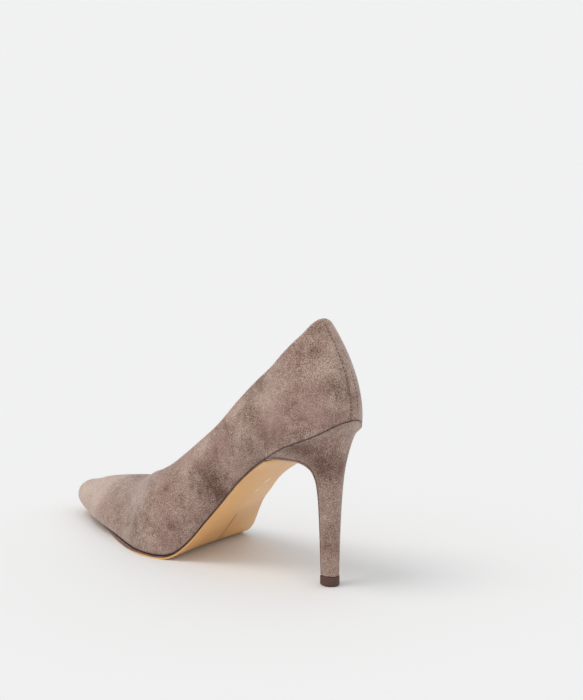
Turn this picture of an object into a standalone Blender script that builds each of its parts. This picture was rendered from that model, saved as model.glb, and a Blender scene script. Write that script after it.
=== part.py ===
# A pointed pump on a stiletto heel, for the left foot, put together as a maker would:
# upper, insole, outsole, covered heel and top piece, each a solid of its own.
# Metres, +Z up, +X towards the toe, +Y towards the outer side of the foot.
# The origin is the middle of the top piece's face on the floor.

import math

import bmesh
import bpy
import numpy as np

# Lengths, measured level from the back of the seat: the counter's shape fades out at COUNTER_REACH
SHOE_LENGTH = 0.2405
BALL_REACH = 0.130
COUNTER_REACH = 0.060
BREAST_REACH = 0.046
HEEL_SETBACK = 0.0165
VAMP_LENGTH = 0.0725

# Breadths of the last's bottom, and how far the ball line is askew, as a slope
SEAT_WIDTH = 0.0492
WAIST_WIDTH = 0.037
BALL_WIDTH = 0.0765
TOE_WIDTH = 0.024
BALL_SKEW = 0.17
ARCH_TILT = 0.008
OUTWARD_SWING = 0.0025

# Heights over the floor, and over the feather line where upper and sole meet
SEAT_HEIGHT = 0.0946
COUNTER_HEIGHT = 0.056
TOPLINE_HEIGHT = 0.0425
INSTEP_HEIGHT = 0.065
THROAT_HEIGHT = 0.0315
TOE_HEIGHT = 0.0150
TOE_SPRING = 0.0032

# The back of the counter: how far it leans in at the top, how late in its height, and its bulge below
BACK_LEAN = 0.0270
LEAN_POWER = 1.95
BACK_BULGE = 0.0013

# Walls and edges
UPPER_WALL = 0.0016
INSOLE_THICKNESS = 0.0022
WAIST_SOLE = 0.0016
BALL_SOLE = 0.0022
TOE_SOLE = 0.0014
SOLE_MARGIN = 0.0004
TOE_INSET = 0.0022
SOLE_BEVEL = 0.0006
TREAD_CUT = 0.0004
FIT_GAP = 0.0003

# The ends' rounding in plan and in height, how far the toe overhangs, and how far its tip turns up
SEAT_ROUND = 0.040
TOE_ROUND = 0.010
TOE_ROUND_UP = 0.012
TOE_OVERHANG = 0.003
TIP_RISE = 0.0060
TIP_RISE_LENGTH = 0.020

# Heel stem and top piece: the stem's back is round, and its sides draw in a little to the front
STEM_DEPTH = 0.0090
STEM_WIDTH = 0.0090
STEM_BACK_SHARE = 0.6
STEM_DRAW_IN = 0.15
STEM_TOP_RING = 0.55
TOP_PIECE_HEIGHT = 0.0056
TOP_PIECE_MARGIN = 0.0002
TOP_PIECE_BEVEL = 0.0006
BREAST_HOLLOW = 0.004

# Numbers of faces, and of the points that a section is measured by
QUARTER_STATIONS = 36
VAMP_STATIONS = 16
SOLE_STATIONS = 46
END_STATIONS = 9
SEAT_STATIONS = 13
WALL_ROWS = 12
ACROSS = 10
HEEL_RINGS = 20
SECTION_POINTS = 201


def table(columns, rows):
    """The columns of a table by name."""
    return dict(zip(columns.split(), np.array(rows, float).T))


def reach(station):
    """Level distance from the back of the seat: station 0 is the seat's back, 1 the ball, 2 the toe tip."""
    return np.interp(station, (0, 1, 2), (0, BALL_REACH, SHOE_LENGTH))


def curve(places, values, x):
    """A smooth curve through the values of a table."""
    places, values = np.asarray(places, float), np.asarray(values, float)
    slopes = np.gradient(values, places)
    x = np.clip(x, places[0], places[-1])
    left = np.clip(np.searchsorted(places, x, side="right") - 1, 0, len(places) - 2)
    step = places[left + 1] - places[left]
    t = (x - places[left]) / step
    return (
        values[left] * (1 + 2 * t) * (1 - t) ** 2
        + slopes[left] * step * t * (1 - t) ** 2
        + values[left + 1] * t * t * (3 - 2 * t)
        + slopes[left + 1] * step * t * t * (t - 1)
    )


def smooth(x, start, end):
    """From 0 before start to 1 after end, without a kink."""
    t = np.clip((x - start) / (end - start), 0, 1)
    return t * t * (3 - 2 * t)


def rounded(distance, length):
    """From 0 at an end to 1 at length from it, as a quarter of an ellipse."""
    share = np.clip(distance / length, 0, 1)
    return np.sqrt(1 - (1 - share) ** 2)


# The last's bottom at stations along it: breadth of the feather line, share of the outward swing
# of its centre, how far its edges stand above its centre, and share of the arch's tilt
BOTTOM = table(
    "station breadth centre crown tilt",
    [
        (0.00, 1.00 * SEAT_WIDTH, 0.00, 0.0000, 0.00),
        (0.16, 1.00 * SEAT_WIDTH, 0.00, 0.0000, 0.00),
        (0.26, 0.99 * SEAT_WIDTH, 0.00, 0.0002, 0.00),
        (0.36, 1.17 * WAIST_WIDTH, 0.20, 0.0005, 0.00),
        (0.48, 1.01 * WAIST_WIDTH, 0.75, 0.0009, 0.08),
        (0.62, 1.04 * WAIST_WIDTH, 1.00, 0.0012, 0.28),
        (0.70, 1.23 * WAIST_WIDTH, 0.90, 0.0012, 0.50),
        (0.78, 0.70 * BALL_WIDTH, 0.90, 0.0012, 0.92),
        (0.86, 0.825 * BALL_WIDTH, 0.95, 0.0010, 0.92),
        (0.94, 0.94 * BALL_WIDTH, 0.95, 0.0006, 0.30),
        (1.03, 1.00 * BALL_WIDTH, 0.85, 0.0004, 0.00),
        (1.12, 0.975 * BALL_WIDTH, 0.60, 0.0004, 0.00),
        (1.25, 0.885 * BALL_WIDTH, 0.30, 0.0008, 0.00),
        (1.44, 0.717 * BALL_WIDTH, 0.10, 0.0008, 0.00),
        (1.58, 1.89 * TOE_WIDTH, 0.00, 0.0006, 0.00),
        (1.68, 1.53 * TOE_WIDTH, 0.00, 0.0005, 0.00),
        (1.78, 1.13 * TOE_WIDTH, 0.00, 0.0004, 0.00),
        (1.90, 0.70 * TOE_WIDTH, 0.00, 0.0004, 0.00),
        (2.00, 0.36 * TOE_WIDTH, 0.00, 0.0004, 0.00),
    ],
)

# Side view of the last's bottom: shares of the rise from tread to seat, and of the toe spring
PROFILE = table(
    "station rise spring",
    [
        (0.00, 1.000, 0.00),
        (0.08, 0.918, 0.00),
        (0.16, 0.864, 0.00),
        (0.24, 0.809, 0.00),
        (0.33, 0.735, 0.00),
        (0.42, 0.661, 0.00),
        (0.50, 0.585, 0.00),
        (0.56, 0.519, 0.00),
        (0.61, 0.452, 0.00),
        (0.70, 0.325, 0.00),
        (0.77, 0.228, 0.00),
        (0.86, 0.103, 0.00),
        (0.90, 0.057, 0.00),
        (0.94, 0.025, 0.00),
        (0.99, 0.005, 0.00),
        (1.07, 0.000, 0.00),
        (1.20, 0.000, 0.05),
        (1.40, 0.000, 0.22),
        (1.60, 0.000, 0.45),
        (1.80, 0.000, 0.68),
        (1.90, 0.000, 0.95),
        (2.00, 0.000, 1.20),
    ],
)

# Cross sections of the upper: height of the last's ridge over the feather line, and the
# handles of the curve from the feather line up: outward, upward, and the shoulder's breadth
SECTIONS = table(
    "station ridge flare lift shoulder",
    [
        (0.00, 1.45 * COUNTER_HEIGHT, 0.10, 0.34, 0.46),
        (0.20, 1.42 * COUNTER_HEIGHT, 0.14, 0.34, 0.50),
        (0.36, 1.34 * COUNTER_HEIGHT, 0.36, 0.34, 0.68),
        (0.50, 1.22 * COUNTER_HEIGHT, 0.66, 0.36, 0.92),
        (0.62, 1.05 * INSTEP_HEIGHT, 0.66, 0.37, 1.00),
        (0.74, 1.00 * INSTEP_HEIGHT, 0.44, 0.38, 0.92),
        (0.86, 1.00 * INSTEP_HEIGHT, 0.20, 0.40, 0.76),
        (0.96, 0.96 * INSTEP_HEIGHT, 0.08, 0.42, 0.66),
        (1.07, 1.76 * THROAT_HEIGHT, 0.05, 0.44, 0.60),
        (1.18, 1.43 * THROAT_HEIGHT, 0.05, 0.46, 0.56),
        (1.28, 1.17 * THROAT_HEIGHT, 0.06, 0.48, 0.54),
        (1.36, 1.00 * THROAT_HEIGHT, 0.20, 0.42, 0.55),
        (1.50, 0.889 * THROAT_HEIGHT, 0.35, 0.32, 0.60),
        (1.65, 1.61 * TOE_HEIGHT, 0.51, 0.25, 0.64),
        (1.75, 1.42 * TOE_HEIGHT, 0.60, 0.24, 0.66),
        (1.88, 1.02 * TOE_HEIGHT, 0.64, 0.27, 0.68),
        (2.00, 0.58 * TOE_HEIGHT, 0.60, 0.30, 0.70),
    ],
)

# The topline's height over the feather line, from the seat's back to shortly before the throat
TOPLINE = table(
    "along height",
    [
        (0.00, 0.938 * COUNTER_HEIGHT),
        (0.06, 0.944 * COUNTER_HEIGHT),
        (0.12, 0.944 * COUNTER_HEIGHT),
        (0.18, 0.923 * COUNTER_HEIGHT),
        (0.26, 0.886 * COUNTER_HEIGHT),
        (0.32, 1.134 * TOPLINE_HEIGHT),
        (0.39, 1.062 * TOPLINE_HEIGHT),
        (0.49, 1.000 * TOPLINE_HEIGHT),
        (0.59, 1.085 * TOPLINE_HEIGHT),
        (0.69, 1.165 * TOPLINE_HEIGHT),
        (0.79, 1.065 * TOPLINE_HEIGHT),
        (0.88, 1.260 * THROAT_HEIGHT),
        (0.95, 1.095 * THROAT_HEIGHT),
    ],
)

# The outsole: its thickness, and how far its edge lies inside the feather line, past it up to the ball
SOLE = table(
    "station thickness inset",
    [
        (0.36, WAIST_SOLE, -SOLE_MARGIN),
        (0.75, WAIST_SOLE, -SOLE_MARGIN),
        (1.00, BALL_SOLE, -SOLE_MARGIN),
        (1.30, BALL_SOLE, -SOLE_MARGIN),
        (1.62, TOE_SOLE, TOE_INSET),
        (2.00, TOE_SOLE, TOE_INSET),
    ],
)

# The heel from its stem's foot up to the seat: shares of the way out and up of its front edge,
# of its back and of its half breadth
HEEL = table(
    "ring front front_up back back_up half",
    [
        (0.00, 0.000, 0.000, 0.00, 0.000, 0.000),
        (0.25, 0.005, 0.280, 0.04, 0.280, 0.030),
        (0.45, 0.015, 0.520, 0.09, 0.450, 0.060),
        (0.60, 0.030, 0.720, 0.15, 0.580, 0.105),
        (0.70, 0.055, 0.850, 0.22, 0.680, 0.175),
        (0.80, 0.145, 0.950, 0.33, 0.780, 0.325),
        (0.88, 0.370, 0.998, 0.48, 0.865, 0.520),
        (0.94, 0.680, 1.002, 0.65, 0.930, 0.715),
        (0.98, 0.890, 1.001, 0.82, 0.967, 0.855),
        (1.00, 1.000, 1.000, 1.00, 1.000, 1.000),
    ],
)

SEAT_BACK = -HEEL_SETBACK
THROAT = SHOE_LENGTH - VAMP_LENGTH
TREAD_LEVEL = BALL_SOLE - TREAD_CUT


def breadth(x):
    """Half the bottom's breadth, before its ends are rounded."""
    return curve(reach(BOTTOM["station"]), BOTTOM["breadth"], x) / 2


def centre(x):
    return curve(reach(BOTTOM["station"]), BOTTOM["centre"], x) * OUTWARD_SWING


def plan_half(x, inset):
    """Half breadth of the bottom's outline, moved in by inset."""
    seat_end = rounded(x - inset, SEAT_ROUND - inset)
    toe_end = rounded(SHOE_LENGTH - inset - x, TOE_ROUND - inset)
    return (breadth(x) - inset) * seat_end * toe_end


def bottom_level(x, y):
    """Height of the last's bottom over the floor, with the bend behind the ball askew."""
    places = reach(PROFILE["station"])
    askew = x + BALL_SKEW * y * smooth(x, 0.35 * BALL_REACH, 0.80 * BALL_REACH)
    rise = curve(places, PROFILE["rise"], askew) * (SEAT_HEIGHT - TREAD_LEVEL)
    spring = curve(places, PROFILE["spring"], x) * TOE_SPRING
    tip = TIP_RISE * (1 - rounded(SHOE_LENGTH - x, TIP_RISE_LENGTH))
    crown = curve(reach(BOTTOM["station"]), BOTTOM["crown"], x)
    tilt = curve(reach(BOTTOM["station"]), BOTTOM["tilt"], x) * ARCH_TILT / 2
    outward = (y - centre(x)) / breadth(x)
    return TREAD_LEVEL + rise + spring + tip + crown * outward**2 - tilt * outward


def on_floor_axes(x, y, z):
    """Points in the part's frame, from distances to the back of the seat."""
    return np.stack(np.broadcast_arrays(x + SEAT_BACK, y, z), axis=-1)


def ridge(x):
    """Height of the last's ridge over the feather line."""
    return curve(reach(SECTIONS["station"]), SECTIONS["ridge"], x) * rounded(SHOE_LENGTH - x, TOE_ROUND_UP)


def topline(x):
    """Height of the topline over the feather line, which meets the ridge at the throat."""
    places = np.append(TOPLINE["along"], 1) * THROAT
    return curve(places, np.append(TOPLINE["height"], ridge(THROAT)), x)


def section(x, rows, side):
    """Points of the upper's outer face at one station, from the feather line to the topline or ridge."""
    flare, lift, shoulder = (
        float(curve(reach(SECTIONS["station"]), SECTIONS[name], x)) for name in ("flare", "lift", "shoulder")
    )
    half, high, middle = float(plan_half(x, 0)), float(ridge(x)), float(centre(x))
    t = np.linspace(0, 1, SECTION_POINTS)
    across = (1 - t) ** 3 + 3 * t * (1 - t) ** 2 * (1 + flare) + 3 * t * t * (1 - t) * shoulder
    up = 3 * t * (1 - t) ** 2 * lift + 3 * t * t * (1 - t) + t**3
    length = np.append(0, np.cumsum(np.hypot(np.diff(across) * half, np.diff(up) * high)))
    top = length[-1]
    if x < THROAT:
        top = float(np.interp(min(float(topline(x)) / high, 1), up, length))
    places = np.interp(np.linspace(0, 1, rows + 1) * top, length, t)
    across, up = np.interp(places, t, across), np.interp(places, t, up)
    level = float(bottom_level(x, middle))
    edge = float(bottom_level(x, middle + side * half)) - level
    z = level + FIT_GAP + up * high + edge * (1 - up) ** 2
    forward = back_shift(x, up * high) + toe_shift(x, up * high)
    return on_floor_axes(x + forward, middle + side * half * across, z)


def back_shift(x, height):
    """How far the counter leans forward, or bulges back, at a height over the feather line."""
    share = height / COUNTER_HEIGHT
    fade = np.clip(1 - x / COUNTER_REACH, 0, 1) ** 2
    return fade * (BACK_LEAN * share**LEAN_POWER - BACK_BULGE * 4 * share * (1 - share))


def toe_shift(x, height):
    """How far the toe overhangs the feather line, at a height over it."""
    share = np.clip(height / TOE_HEIGHT, 0, 1)
    return TOE_OVERHANG * smooth(x, SHOE_LENGTH - 2 * TOE_ROUND, SHOE_LENGTH) * share * (2 - share)


def stations():
    """Stations of the upper, closer together at the back, the throat and the toe tip."""
    quarter = THROAT * (1 - np.cos(np.linspace(0, math.pi, QUARTER_STATIONS + 1))) / 2
    vamp = THROAT + VAMP_LENGTH * np.sin(np.linspace(0, math.pi / 2, VAMP_STATIONS + 1))
    return np.append(quarter, vamp[1:])


def add_grid(mesh, points, flip):
    """Adds a grid of points and its faces."""
    rows = [[mesh.verts.new(p) for p in row] for row in points]
    for low, high in zip(rows, rows[1:]):
        for a, b, c, d in zip(low, low[1:], high[1:], high):
            mesh.faces.new((a, d, c, b) if flip else (a, b, c, d))


def make(name, mesh, colour, roughness):
    """Turns a bmesh into a named object with its own material."""
    bmesh.ops.remove_doubles(mesh, verts=mesh.verts, dist=1e-6)
    bmesh.ops.dissolve_degenerate(mesh, edges=mesh.edges, dist=1e-7)
    bmesh.ops.recalc_face_normals(mesh, faces=mesh.faces)
    data = bpy.data.meshes.new(name)
    mesh.to_mesh(data)
    mesh.free()
    data.shade_smooth()
    data.set_sharp_from_angle(angle=math.radians(40))
    thing = bpy.data.objects.new(name, data)
    bpy.context.scene.collection.objects.link(thing)
    material = bpy.data.materials.new(name)
    material.use_nodes = True
    shader = material.node_tree.nodes["Principled BSDF"]
    shader.inputs["Base Color"].default_value = (*colour, 1)
    shader.inputs["Roughness"].default_value = roughness
    data.materials.append(material)
    return thing


def upper():
    mesh = bmesh.new()
    for side in (1, -1):
        points = np.array([section(x, WALL_ROWS, side) for x in stations()])
        add_grid(mesh, points, side > 0)
    thing = make("upper", mesh, (0.32, 0.25, 0.22), 0.95)
    wall = thing.modifiers.new("wall", "SOLIDIFY")
    wall.thickness = UPPER_WALL
    wall.offset = -1
    return thing


def clear_scene():
    for thing in list(bpy.data.objects):
        bpy.data.objects.remove(thing, do_unlink=True)


def sole_stations(start, start_round, inset):
    """Stations of a sheet from start to the toe, shared by all sheets a little away from their ends."""
    end = SHOE_LENGTH - inset
    shared = np.linspace(0, SHOE_LENGTH, SOLE_STATIONS + 1)
    shared = shared[(shared > start + 1.1 * start_round) & (shared < end - 1.1 * TOE_ROUND)]
    turn = 1 - np.cos(np.linspace(0, math.pi / 2, END_STATIONS))
    opening = start + start_round * turn if start_round else [start]
    return np.concatenate((opening, shared, (end - TOE_ROUND * turn)[::-1]))


def slab(name, x, inset, bevel, top, bottom, colour, roughness, hollow=None):
    """A closed sheet on the last's bottom, between two levels over it."""
    mesh = bmesh.new()
    t = np.linspace(-1, 1, ACROSS + 1)
    grids = []
    for drawn_in, level in ((0, top), (bevel, bottom)):
        lengthwise = x[:, None] + (0 if hollow is None else hollow(x, t))
        y = centre(lengthwise) + plan_half(lengthwise, inset(lengthwise) + drawn_in) * t
        grids.append(on_floor_axes(lengthwise, y, level(lengthwise, y)))
    upside, underside = grids
    add_grid(mesh, upside, False)
    add_grid(mesh, underside, True)
    for edge in (np.s_[:, 0], np.s_[:, -1], np.s_[0], np.s_[-1]):
        add_grid(mesh, np.stack((upside[edge], underside[edge])), False)
    return make(name, mesh, colour, roughness)


def insole():
    inset = UPPER_WALL + 2 * FIT_GAP
    return slab(
        "insole", sole_stations(inset, SEAT_ROUND, inset), lambda x: inset, 0,
        lambda x, y: bottom_level(x, y) + FIT_GAP + INSOLE_THICKNESS,
        lambda x, y: bottom_level(x, y) + FIT_GAP,
        (0.62, 0.50, 0.40), 0.6,
    )


def sole_thickness(x):
    return curve(reach(SOLE["station"]), SOLE["thickness"], x)


def sole_inset(x):
    """How far the sole's edge lies inside the feather line."""
    return curve(reach(SOLE["station"]), SOLE["inset"], x)


def breast_hollow(x, t):
    """Moves the outsole's back end into the hollow of the heel's breast, less and less further on."""
    fade = np.clip(1 - (x - x[0]) / (6 * BREAST_HOLLOW), 0, 1)
    return -BREAST_HOLLOW * fade[:, None] * (1 - t**2)


def outsole():
    return slab(
        "outsole", sole_stations(BREAST_REACH + FIT_GAP, 0, TOE_INSET), sole_inset, SOLE_BEVEL,
        bottom_level,
        lambda x, y: np.maximum(bottom_level(x, y) - sole_thickness(x), 0),
        (0.60, 0.42, 0.25), 0.45, breast_hollow,
    )


def stem_outline(count):
    """Side of the stem from its back to its front corner: shares of its depth and half width."""
    share = np.linspace(0, 1, count + 1)
    turn = np.clip(share / STEM_BACK_SHARE, 0, 1) * math.pi / 2
    run = np.clip((share - STEM_BACK_SHARE) / (1 - STEM_BACK_SHARE), 0, 1)
    return (1 - np.cos(turn) + run) / 2, np.sin(turn) - STEM_DRAW_IN * run**2


def heel_loops():
    """Grid of the seat, and the loops from the seat's edge down to the stem's foot."""
    t = np.linspace(-1, 1, ACROSS + 1)
    turn = np.linspace(0, math.pi / 2, SEAT_STATIONS + 1)
    x = BREAST_REACH * (1 - np.cos(turn))
    lengthwise = x[:, None] - BREAST_HOLLOW * (x[:, None] / BREAST_REACH) ** 4 * (1 - t**2)
    y = centre(lengthwise) + plan_half(lengthwise, 0) * t
    seat = on_floor_axes(lengthwise, y, bottom_level(lengthwise, y))
    n, foot = len(x) - 1, TOP_PIECE_HEIGHT + FIT_GAP
    loop = np.concatenate((seat[n:0:-1, -1], seat[0:n, 0], seat[n, 0:-1]))
    depth, half = stem_outline(n)
    stem_x = np.concatenate((depth[n:0:-1], depth[0:n], np.full(ACROSS, 1.0)))
    front = np.linspace(-half[n], half[n], ACROSS + 1)[:-1]
    stem_y = np.concatenate((half[n:0:-1], -half[0:n], front))
    seat_half = SEAT_WIDTH / 2
    top_x = (loop[:, 0] - SEAT_BACK) / BREAST_REACH
    top_y = loop[:, 1] / seat_half
    loops = []
    for ring in np.linspace(1, 0, HEEL_RINGS + 1):
        share = {name: float(curve(HEEL["ring"], HEEL[name], ring)) for name in HEEL}
        x_front = STEM_DEPTH / 2 + share["front"] * (SEAT_BACK + BREAST_REACH - STEM_DEPTH / 2)
        x_back = -STEM_DEPTH / 2 + share["back"] * (SEAT_BACK + STEM_DEPTH / 2)
        half_now = STEM_WIDTH / 2 + share["half"] * (seat_half - STEM_WIDTH / 2)
        blend = smooth(ring, STEM_TOP_RING, 1)
        u = stem_x + (top_x - stem_x) * blend
        v = stem_y + (top_y - stem_y) * blend
        up = share["back_up"] + (share["front_up"] - share["back_up"]) * top_x
        z = foot + (loop[:, 2] - foot) * up
        loops.append(np.stack((x_back + u * (x_front - x_back), v * half_now, z), axis=-1))
    return seat, np.array(loops)


def heel():
    seat, loops = heel_loops()
    mesh = bmesh.new()
    add_grid(mesh, seat, False)
    around = np.concatenate((loops, loops[:, :1]), axis=1)
    add_grid(mesh, around, True)
    mesh.faces.new([mesh.verts.new(p) for p in loops[-1]])
    return make("heel", mesh, (0.30, 0.23, 0.20), 0.95)


def top_piece():
    foot = heel_loops()[1][-1]
    mesh = bmesh.new()
    grow = 1 + 2 * TOP_PIECE_MARGIN / STEM_WIDTH
    small = 1 + 2 * (TOP_PIECE_MARGIN - TOP_PIECE_BEVEL) / STEM_WIDTH
    rows = []
    for scale, z in ((grow, TOP_PIECE_HEIGHT), (grow, TOP_PIECE_BEVEL), (small, 0)):
        rows.append(foot * (scale, scale, 0) + (0, 0, z))
    around = np.array(rows)
    add_grid(mesh, np.concatenate((around, around[:, :1]), axis=1), False)
    for row in (rows[0], rows[-1]):
        mesh.faces.new([mesh.verts.new(p) for p in row])
    return make("top_piece", mesh, (0.13, 0.08, 0.065), 0.6)


def main():
    clear_scene()
    upper()
    insole()
    outsole()
    heel()
    top_piece()


main()
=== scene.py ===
import math

import bmesh
import bpy
import numpy as np
from mathutils import Matrix, Vector


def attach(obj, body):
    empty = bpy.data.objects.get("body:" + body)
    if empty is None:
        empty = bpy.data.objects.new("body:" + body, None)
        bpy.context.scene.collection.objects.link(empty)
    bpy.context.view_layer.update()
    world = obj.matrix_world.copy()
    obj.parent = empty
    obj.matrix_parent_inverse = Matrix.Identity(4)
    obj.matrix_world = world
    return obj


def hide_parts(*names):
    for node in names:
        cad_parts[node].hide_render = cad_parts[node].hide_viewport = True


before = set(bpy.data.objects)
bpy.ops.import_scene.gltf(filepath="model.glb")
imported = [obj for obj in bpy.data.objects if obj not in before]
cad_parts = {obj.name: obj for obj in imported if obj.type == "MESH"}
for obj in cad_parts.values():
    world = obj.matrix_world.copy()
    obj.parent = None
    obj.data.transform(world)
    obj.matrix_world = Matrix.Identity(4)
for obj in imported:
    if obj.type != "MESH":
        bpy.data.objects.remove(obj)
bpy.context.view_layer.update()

# A suede pump on a stiletto heel, left shoe, dressed over its solids.
# Metres. x runs towards the toe, y towards the outer side, z up.
# In the tables and in the last's functions x is counted from the seat's back.

last = {
    "length": 0.2405, "ballReach": 0.130, "counterReach": 0.060, "breastReach": 0.046, "setback": 0.0165,
    "vamp": 0.0725, "seatWidth": 0.0492, "waistWidth": 0.037, "ballWidth": 0.0765, "toeWidth": 0.024,
    "skew": 0.17, "archTilt": 0.008, "swing": 0.0025, "seatHeight": 0.0946, "counterHeight": 0.056,
    "toplineHeight": 0.0425, "instepHeight": 0.065, "throatHeight": 0.0315, "toeHeight": 0.0150,
    "toeSpring": 0.0032, "backLean": 0.0270, "leanPower": 1.95, "backBulge": 0.0013, "seatRound": 0.040,
    "toeRound": 0.010, "toeRoundUp": 0.012, "toeOverhang": 0.003, "tipRise": 0.0060, "tipRiseLength": 0.020,
    "toeInset": 0.0022, "treadLevel": 0.0018, "gap": 0.0003,
    "blur": 0.0022,  # how softly the tables' curves run into each other
}


def table(columns, rows):
    return dict(zip(columns.split(), np.array(rows, float).T))


seatWidth, waistWidth, ballWidth, toeWidth = (
    last[part + "Width"] for part in ("seat", "waist", "ball", "toe"))
bottomTable = table("station breadth centre crown tilt", [
    (0.00, 1.00 * seatWidth, 0.00, 0.0000, 0.00),
    (0.16, 1.00 * seatWidth, 0.00, 0.0000, 0.00),
    (0.26, 0.99 * seatWidth, 0.00, 0.0002, 0.00),
    (0.36, 1.17 * waistWidth, 0.20, 0.0005, 0.00),
    (0.48, 1.01 * waistWidth, 0.75, 0.0009, 0.08),
    (0.62, 1.04 * waistWidth, 1.00, 0.0012, 0.28),
    (0.70, 1.23 * waistWidth, 0.90, 0.0012, 0.50),
    (0.78, 0.70 * ballWidth, 0.90, 0.0012, 0.92),
    (0.86, 0.825 * ballWidth, 0.95, 0.0010, 0.92),
    (0.94, 0.94 * ballWidth, 0.95, 0.0006, 0.30),
    (1.03, 1.00 * ballWidth, 0.85, 0.0004, 0.00),
    (1.12, 0.975 * ballWidth, 0.60, 0.0004, 0.00),
    (1.25, 0.885 * ballWidth, 0.30, 0.0008, 0.00),
    (1.44, 0.717 * ballWidth, 0.10, 0.0008, 0.00),
    (1.58, 1.89 * toeWidth, 0.00, 0.0006, 0.00),
    (1.68, 1.53 * toeWidth, 0.00, 0.0005, 0.00),
    (1.78, 1.13 * toeWidth, 0.00, 0.0004, 0.00),
    (1.90, 0.70 * toeWidth, 0.00, 0.0004, 0.00),
    (2.00, 0.36 * toeWidth, 0.00, 0.0004, 0.00)])
profileTable = table("station rise spring", [
    (0.00, 1.000, 0.00), (0.08, 0.918, 0.00), (0.16, 0.864, 0.00), (0.24, 0.809, 0.00), (0.33, 0.735, 0.00),
    (0.42, 0.661, 0.00), (0.50, 0.585, 0.00), (0.56, 0.519, 0.00), (0.61, 0.452, 0.00), (0.70, 0.325, 0.00),
    (0.77, 0.228, 0.00), (0.86, 0.103, 0.00), (0.90, 0.057, 0.00), (0.94, 0.025, 0.00), (0.99, 0.005, 0.00),
    (1.07, 0.000, 0.00), (1.20, 0.000, 0.05), (1.40, 0.000, 0.22), (1.60, 0.000, 0.45), (1.80, 0.000, 0.68),
    (1.90, 0.000, 0.95), (2.00, 0.000, 1.20)])
counterHeight, instepHeight, throatHeight, toeHeight, toplineHeight = (
    last[part + "Height"] for part in ("counter", "instep", "throat", "toe", "topline"))
sectionTable = table("station ridge flare lift shoulder", [
    (0.00, 1.45 * counterHeight, 0.10, 0.34, 0.46),
    (0.20, 1.42 * counterHeight, 0.14, 0.34, 0.50),
    (0.36, 1.34 * counterHeight, 0.36, 0.34, 0.68),
    (0.50, 1.22 * counterHeight, 0.66, 0.36, 0.92),
    (0.62, 1.05 * instepHeight, 0.66, 0.37, 1.00),
    (0.74, 1.00 * instepHeight, 0.44, 0.38, 0.92),
    (0.86, 1.00 * instepHeight, 0.20, 0.40, 0.76),
    (0.96, 0.96 * instepHeight, 0.08, 0.42, 0.66),
    (1.07, 1.76 * throatHeight, 0.05, 0.44, 0.60),
    (1.18, 1.43 * throatHeight, 0.05, 0.46, 0.56),
    (1.28, 1.17 * throatHeight, 0.06, 0.48, 0.54),
    (1.36, 1.00 * throatHeight, 0.20, 0.42, 0.55),
    (1.50, 0.889 * throatHeight, 0.35, 0.32, 0.60),
    (1.65, 1.61 * toeHeight, 0.51, 0.25, 0.64),
    (1.75, 1.42 * toeHeight, 0.60, 0.24, 0.66),
    (1.88, 1.02 * toeHeight, 0.64, 0.27, 0.68),
    (2.00, 0.58 * toeHeight, 0.60, 0.30, 0.70)])
toplineTable = table("along height", [
    (0.00, 0.938 * counterHeight), (0.06, 0.944 * counterHeight), (0.12, 0.944 * counterHeight),
    (0.18, 0.923 * counterHeight), (0.26, 0.886 * counterHeight), (0.32, 1.134 * toplineHeight),
    (0.39, 1.062 * toplineHeight), (0.49, 1.000 * toplineHeight), (0.59, 1.085 * toplineHeight),
    (0.69, 1.165 * toplineHeight), (0.79, 1.065 * toplineHeight), (0.88, 1.260 * throatHeight),
    (0.95, 1.095 * throatHeight)])
heelTable = table("ring front frontUp back backUp half", [
    (0.00, 0.000, 0.000, 0.00, 0.000, 0.000), (0.25, 0.005, 0.280, 0.04, 0.280, 0.030),
    (0.45, 0.015, 0.520, 0.09, 0.450, 0.060), (0.60, 0.030, 0.720, 0.15, 0.580, 0.105),
    (0.70, 0.055, 0.850, 0.22, 0.680, 0.175), (0.80, 0.145, 0.950, 0.33, 0.780, 0.325),
    (0.88, 0.370, 0.998, 0.48, 0.865, 0.520), (0.94, 0.680, 1.002, 0.65, 0.930, 0.715),
    (0.98, 0.890, 1.001, 0.82, 0.967, 0.855), (1.00, 1.000, 1.000, 1.00, 1.000, 1.000)])

length, throat = last["length"], last["length"] - last["vamp"]
ruler = np.linspace(0, length, 1201)


def hermite(places, values, at):
    slopes = np.gradient(values, places)
    at = np.clip(at, places[0], places[-1])
    left = np.clip(np.searchsorted(places, at, side="right") - 1, 0, len(places) - 2)
    step = places[left + 1] - places[left]
    t = (at - places[left]) / step
    return (values[left] * (1 + 2 * t) * (1 - t) ** 2 + slopes[left] * step * t * (1 - t) ** 2
            + values[left + 1] * t * t * (3 - 2 * t) + slopes[left + 1] * step * t * t * (t - 1))


def softLine(places, values):  # the table's curve with its bends eased
    line = hermite(np.asarray(places, float), np.asarray(values, float), ruler)
    step = ruler[1] - ruler[0]
    count = int(4 * last["blur"] / step)
    weight = np.exp(-0.5 * (np.arange(-count, count + 1) * step / last["blur"]) ** 2)
    padded = np.concatenate((2 * line[0] - line[count:0:-1], line, 2 * line[-1] - line[-2:-count - 2:-1]))
    line = np.convolve(padded, weight / weight.sum(), "valid")
    return lambda at: np.interp(at, ruler, line)


def reach(station):
    return np.interp(station, (0, 1, 2), (0, last["ballReach"], length))


def columns(rows):
    return {name: softLine(reach(rows["station"]), rows[name]) for name in rows if name != "station"}


bottomLine, profileLine, sectionLine = columns(bottomTable), columns(profileTable), columns(sectionTable)


def easeIn(x, start, end):
    t = np.clip((x - start) / (end - start), 0, 1)
    return t * t * (3 - 2 * t)


def rounded(distance, size):
    share = np.clip(distance / size, 0, 1)
    return np.sqrt(np.clip(1 - (1 - share) ** 2, 0, 1))


def middle(x):
    return bottomLine["centre"](x) * last["swing"]


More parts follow.
